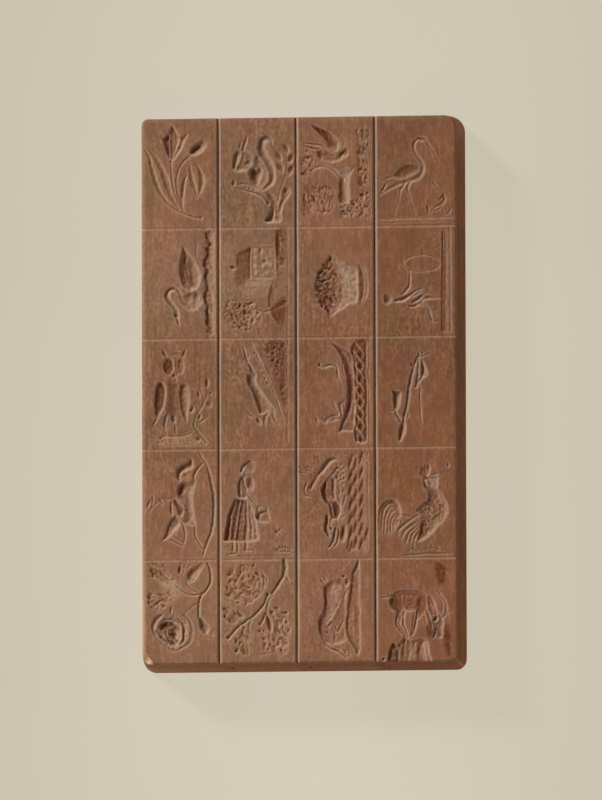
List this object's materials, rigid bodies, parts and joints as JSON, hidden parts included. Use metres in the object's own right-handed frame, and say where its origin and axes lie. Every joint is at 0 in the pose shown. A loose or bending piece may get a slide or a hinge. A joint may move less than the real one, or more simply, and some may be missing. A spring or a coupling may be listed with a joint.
{
  "type": "springerle mould",
  "caption": "Flat wooden biscuit mould of edge-jointed staves, its face carved in hollow relief with small folk pictures in a grid of V-grooves and scored lines.",
  "frame": {"origin": "centre of the back face, on the surface that the mould lies on", "axes": "+Z out of the carved face, +Y towards the top of the pictures, +X to their right"},
  "size_m": [0.1482, 0.2538, 0.024],
  "materials": {
    "left_wood": "worn, dry pearwood",
    "mid_left_wood": "worn, dry pearwood",
    "mid_right_wood": "worn, dry pearwood",
    "right_wood": "worn, dry pearwood"
  },
  "bodies": {
    "root": {"stave_left": "left_wood", "stave_mid_left": "mid_left_wood", "stave_mid_right": "mid_right_wood", "stave_right": "right_wood"}
  },
  "joints": []
}
